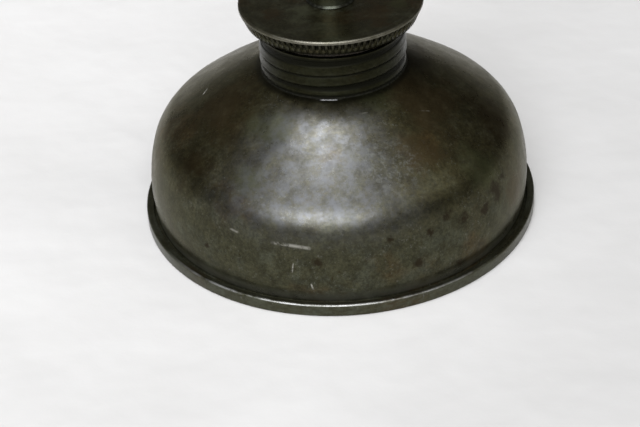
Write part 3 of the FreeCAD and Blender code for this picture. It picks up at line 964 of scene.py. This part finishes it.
def collar_finish():
    steel = OldSteel("collar_steel_patina", 21, wear=0.35, brown=0.55)
    steel.paint(BLACKENED, 1.0, blend="MULTIPLY")
    steel.paint(COLLAR_CREST, steel.ramp(steel.radius, COLLAR_RADIUS + 0.35, COLLAR_RADIUS + 0.5),
                steel.patches(3, 4, 0.6, 61, 0.42, 0.62), 0.4)
    # Painted shade with some grime: the thread's grooves, the collar's foot and the band under the
    # lip are darkened.
    groove = steel.ramp(steel.radius, COLLAR_RADIUS + 0.24, COLLAR_RADIUS + 0.06)
    foot = steel.ramp(steel.height, COLLAR_FOOT + 0.9, COLLAR_FOOT + 0.3)
    under_lip = steel.window(steel.height, (COLLAR_TOP - 2.6, COLLAR_TOP - 1.6),
                             (COLLAR_TOP - 0.3, COLLAR_TOP - 0.7))
    shade_and_grime = steel.most(groove, foot, steel.times(under_lip, 0.8))
    steel.paint(SHADE_AND_GRIME, shade_and_grime, 0.85)
    steel.rough = steel.plus(steel.rough, steel.times(shade_and_grime, 0.3))
    steel.bump((steel.noise(2.5, 4, 0.6, 62), 0.02), (steel.grain, 0.010))
    return steel.finish(0.94)


def solder_finish():
    """The fillet at the collar's foot, painted near black as shade, with one painted highlight dash
    at the front.
    """
    solder = Finish("old_solder")
    cloud = solder.noise(2.4, 4, 0.6, 71)
    grain = solder.noise(0.5, 3, 0.6, 72)
    # Painted highlight: a bright, smooth, metallic dash on the fillet's outer edge at the front.
    # Elsewhere the solder is painted near black as shade.
    outer = solder.ramp(solder.radius, COLLAR_FOOT_RADIUS + 0.34, COLLAR_FOOT_RADIUS + 0.44)
    glint = solder.times(solder.window(solder.azimuth, (-12, -9), (2, 0)), outer)
    solder.colour = solder.tint(solder.ramp(grain, 0.3, 0.7), SOLDER_DARK, SOLDER_LIGHT)
    solder.paint(SOLDER_WORN, solder.ramp(cloud, 0.60, 0.72), 0.3)
    solder.paint(SOLDER_GLINT, glint, 0.9)
    solder.rough = solder.between(glint, 0.65, 0.22)
    solder.bump((cloud, 0.04), (grain, 0.012))
    return solder.finish(solder.times(glint, 0.95),
                         Specular_IOR_Level=solder.between(glint, 0.03, 0.5))


def leather_finish():
    leather = Finish("oiled_leather")
    pores = leather.flecks(0.45, 3)
    fibre = leather.noise(1.4, 5, 0.7, 81, stretch=(1, 1, 2.5))
    leather.colour = leather.tint(leather.ramp(fibre, 0.32, 0.68), LEATHER_DARK, LEATHER_LIGHT)
    leather.paint(LEATHER_PORE, leather.ramp(pores, 0.2, 0.1, 0, 0.6))
    leather.rough = leather.between(fibre, 0.5, 0.72)
    leather.bump((pores, 0.03), (fibre, 0.05))
    return leather.finish(0.0, 0.1, 0.35)


def cap_finish():
    steel = OldSteel("cap_steel_patina", 26, wear=0.45, brown=0.75)
    # The cap's rolled top edge is painted pale, strongest at the front: rubbed wear and a painted
    # highlight.
    edge = steel.times(steel.ramp(steel.radius, 20.5, 20.8),
                       steel.ramp(steel.height, KNURL_TOP - 0.1, KNURL_TOP + 0.1))
    front = steel.window(steel.azimuth, (-60, -20), (60, 20))
    steel.paint(CAP_EDGE_WEAR_AND_HIGHLIGHT, edge, steel.patches(3.5, 4, 0.6, 91, 0.25, 0.50, 0.4, 1.0),
                steel.between(front, 0.2, 0.75))

    # A tooth's crest leans outwards. How far a place is from its line tells tooth from groove.
    side = steel.ramp(steel.height, KNURL_TOP - 0.05, KNURL_TOP - 0.25)
    crest_line = steel.plus(steel.times(steel.height, CREST_LEAN), CREST_FOOT)
    from_crest = steel.minus(steel.radius, crest_line)
    steel.paint(CAP_TEETH, side, steel.ramp(steel.height, CAP_FLOOR + 1.5, CAP_FLOOR + 2.6),
                steel.ramp(from_crest, -0.1, 0.0), 0.6)
    # Painted shade with some grime: darker in the grooves between the teeth and low on the cap's
    # side, towards its underside.
    groove = steel.ramp(from_crest, -0.05, -0.26)
    foot = steel.ramp(steel.height, CAP_FLOOR + 1.6, CAP_FLOOR + 0.4)
    skirt = steel.ramp(steel.radius, 19.3, 19.6)
    steel.paint(SHADE_AND_GRIME, steel.most(groove, foot), side, skirt, 0.8)

    steel.paint(CAP_RING, steel.ramp(steel.radius, 10, 6.5),
                steel.patches(1.3, 4, 0.65, 92, 0.46, 0.62), 0.6)
    for index, (across, along, size, stain) in enumerate(CAP_STAINS):
        steel.paint(stain, steel.blot((across, along, CAP_TOP), size, 1.8, 80 + index), 0.75)
    steel.paint(OILED, 1.0, blend="MULTIPLY")
    steel.bump((steel.noise(4.5, 3, 0.5, 93), 0.04), (steel.noise(1.6, 4, 0.6, 94), 0.015),
               (steel.grain, 0.010))
    return steel.finish(0.92, 0.04, 0.2)


def sleeve_finish():
    steel = OldSteel("sleeve_steel_oiled", 31, wear=0.9, brown=0.3)
    steel.paint(SLEEVE_CREST, steel.ramp(steel.radius, 15.75, 15.95), 0.8)
    steel.rough = steel.times(steel.rough, 0.85)
    steel.bump((steel.noise(2.5, 3, 0.5, 95), 0.02), (steel.grain, 0.01))
    return steel.finish(0.9, 0.3, 0.12)


def spout_finish():
    steel = OldSteel("spout_steel_patina", 36, wear=0.7, brown=0.3)
    steel.paint(VERDIGRIS, steel.patches(6, 4, 0.6, 96, 0.38, 0.6), 0.7)
    off_lap = steel.math("ABSOLUTE", steel.minus(steel.azimuth, LAP_WEAR_AZIMUTH))
    steel.paint(SPOUT_LAP, steel.ramp(off_lap, 9, 3), steel.patches(3, 4, 0.6, 97, 0.35, 0.55), 0.6)
    steel.bump((steel.noise(5, 3, 0.5, 98), 0.03), (steel.noise(1.2, 4, 0.6, 99), 0.012),
               (steel.grain, 0.010))
    return steel.finish(0.9, 0.15, 0.18)


def bead_finish():
    bead = Finish("spout_solder")
    cloud = bead.noise(1.6, 4, 0.6, 101)
    bead.colour = bead.tint(bead.ramp(cloud, 0.42, 0.66), BEAD_DARK, BEAD_LIGHT)
    # Painted highlight: the bead is paler at its front.
    bead.paint(BEAD_GLINT, bead.window(bead.azimuth, (-22, -8), (22, 8)))
    bead.rough = 0.42
    bead.bump((cloud, 0.04), (bead.noise(0.4, 3, 0.6, 102), 0.010))
    return bead.finish(0.9)


def tip_finish():
    steel = OldSteel("tip_steel_turned", 41, wear=1.0, brown=0.2)
    turning = steel.noise(0.22, 3, 0.6, 103, stretch=(0.02, 0.02, 1))
    steel.paint(TIP_BARE, steel.ramp(turning, 0.4, 0.65, 0, 0.7))
    steel.rough = steel.times(steel.rough, 0.9)
    steel.bump((turning, 0.012), (steel.grain, 0.008))
    return steel.finish(0.9, 0.15, 0.2)


# -------- the can

place(make_tank_shell(), "tank_shell", "reservoir", tank_finish())
place(make_seam_ring(), "seam_ring", "reservoir", rim_finish())
place(make_push_disc(), "push_disc", "thumb_pad", disc_finish())
place(make_neck_collar(), "neck_collar", "reservoir", collar_finish())
place(make_neck_solder(), "neck_solder", "reservoir", solder_finish())
place(make_cap_washer(), "cap_washer", "washer", leather_finish())
place(make_spout_cap(), "spout_cap", "spout", cap_finish())
place(make_cap_sleeve(), "cap_sleeve", "spout", sleeve_finish())
place(make_spout_tube(), "spout_tube", "spout", spout_finish())
place(make_spout_solder(), "spout_solder", "spout", bead_finish())
place(make_spout_tip(), "spout_tip", "spout", tip_finish())

# The spring bottom stays put where the rim clamps it; it is joined to no body.
spring = make_spring_bottom()
place(spring, "spring_bottom", None, bottom_finish())
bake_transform(spring)


# -------- floor, light and camera

PAPER_DARK, PAPER_LIGHT = (0.535, 0.528, 0.508), (0.572, 0.565, 0.545)

# Broad glows in the studio, as (azimuth, elevation, strength).
GLOWS = ((-115, 30, 0.13), (95, 30, 0.05), (0, 55, 0.22))

# Its soft boxes: azimuth, elevation, half width, half height and soft edge, then strength.
FRONT_BOX = (-22, 52, 0.50, 0.60, 0.26), 2.4
LOW_BOX = (-9, 39, 0.44, 0.19, 0.10), 5.8
TOP_BOX = (-138, 83, 0.16, 0.16, 0.07), 12.5
SIDE_BOX = (72, 52, 0.30, 0.34, 0.26), 0.9
WARM_LIGHT, COOL_LIGHT = (1.0, 0.99, 0.96), (0.97, 0.985, 1.05)

# The camera, in metres and radians, solved from the outlines of the can in the photo.
CAMERA_PLACE = (0, -0.326446, 0.223032)
CAMERA_PAN, CAMERA_TILT, CAMERA_ROLL = -0.0160104, 0.6096143, 0.0581525


def make_floor():
    half, drop = 5.0, -0.02 * MM
    mesh = bpy.data.meshes.new("floor")
    corners = ((-half, -half), (half, -half), (half, half), (-half, half))
    mesh.from_pydata([(*corner, drop) for corner in corners], [], [(0, 1, 2, 3)])
    floor = bpy.data.objects.new("floor", mesh)
    bpy.context.collection.objects.link(floor)
    paper = Finish("pale_paper")
    cloud = paper.noise(70, 4, 0.55, 111)
    paper.colour = paper.tint(paper.ramp(cloud, 0.3, 0.7), PAPER_DARK, PAPER_LIGHT)
    # Painted light: the paper is painted brighter on the left and darker on the right, as a
    # fall-off of light.
    paper.scale(paper.ramp(paper.across, -150, 150, 1.10, 0.90))
    paper.rough = 0.8
    paper.bump((cloud, 3.0), (paper.noise(9, 4, 0.6, 112), 0.12))
    mesh.materials.append(paper.finish(Specular_IOR_Level=0.2))


def direction(azimuth, elevation):
    """A unit vector that points to an azimuth from the front and an elevation."""
    turn, rise = math.radians(azimuth), math.radians(elevation)
    return Vector((math.sin(turn) * math.cos(rise), -math.cos(turn) * math.cos(rise),
                   math.sin(rise)))


def soft_box(nodes, towards, azimuth, elevation, half_width, half_height, edge):
    """A rectangle of light in the sky, seen from the can: 1 on its face and 0 off it."""
    normal = direction(azimuth, elevation)
    right = direction(azimuth + 90, 0)
    up = right.cross(normal) * -1
    facing = nodes.vector("DOT_PRODUCT", towards, tuple(normal))
    in_front = nodes.most(facing, 0.05)
    mask = nodes.ramp(facing, 0.02, 0.12)
    for axis, half in ((right, half_width), (up, half_height)):
        off = nodes.math("DIVIDE", nodes.vector("DOT_PRODUCT", towards, tuple(axis)), in_front)
        off = nodes.math("ABSOLUTE", off)
        mask = nodes.times(mask, nodes.ramp(off, half + edge, half - edge))
    return mask


def make_sky():
    """A studio with pale low walls, a dark ceiling, broad glows and four soft boxes."""
    world = bpy.data.worlds.new("studio")
    bpy.context.scene.world = world
    world.use_nodes = True
    nodes = Nodes(world.node_tree)
    towards = nodes.add("TexCoord").outputs["Generated"]
    height = nodes.add("SeparateXYZ", {0: towards}).outputs[2]
    light = nodes.ramp(height, 0.04, 0.18, 0.48, 0.04)
    behind = nodes.vector("DOT_PRODUCT", towards, tuple(direction(180, 10)))
    light = nodes.times(light, nodes.ramp(behind, 0.1, 0.9, 1.1, 0.5))
    for azimuth, elevation, strength in GLOWS:
        facing = nodes.vector("DOT_PRODUCT", towards, tuple(direction(azimuth, elevation)))
        light = nodes.plus(light, nodes.ramp(facing, 0.1, 0.95, 0, strength))
    faces = []
    for shape, strength in (FRONT_BOX, TOP_BOX, LOW_BOX, SIDE_BOX):
        faces.append(soft_box(nodes, towards, *shape))
        light = nodes.plus(light, nodes.times(faces[-1], strength))
    front, top = faces[:2]
    backdrop = world.node_tree.nodes["Background"]
    nodes.feed(backdrop.inputs["Color"], nodes.tint(nodes.most(front, top), WARM_LIGHT, COOL_LIGHT))
    nodes.feed(backdrop.inputs["Strength"], light)


def make_camera():
    camera = bpy.data.cameras.new("camera")
    camera.lens = 90
    camera.sensor_width = 36
    camera.clip_start = 0.01
    camera.clip_end = 50
    turn = (Euler((math.pi / 2 - CAMERA_TILT, 0, -CAMERA_PAN)).to_matrix()
            @ Matrix.Rotation(-CAMERA_ROLL, 3, "Z"))
    eye = bpy.data.objects.new("camera", camera)
    eye.matrix_world = Matrix.Translation(CAMERA_PLACE) @ turn.to_4x4()
    bpy.context.collection.objects.link(eye)
    bpy.context.scene.camera = eye


make_floor()
make_sky()
make_camera()
bpy.context.scene.view_settings.view_transform = "Standard"
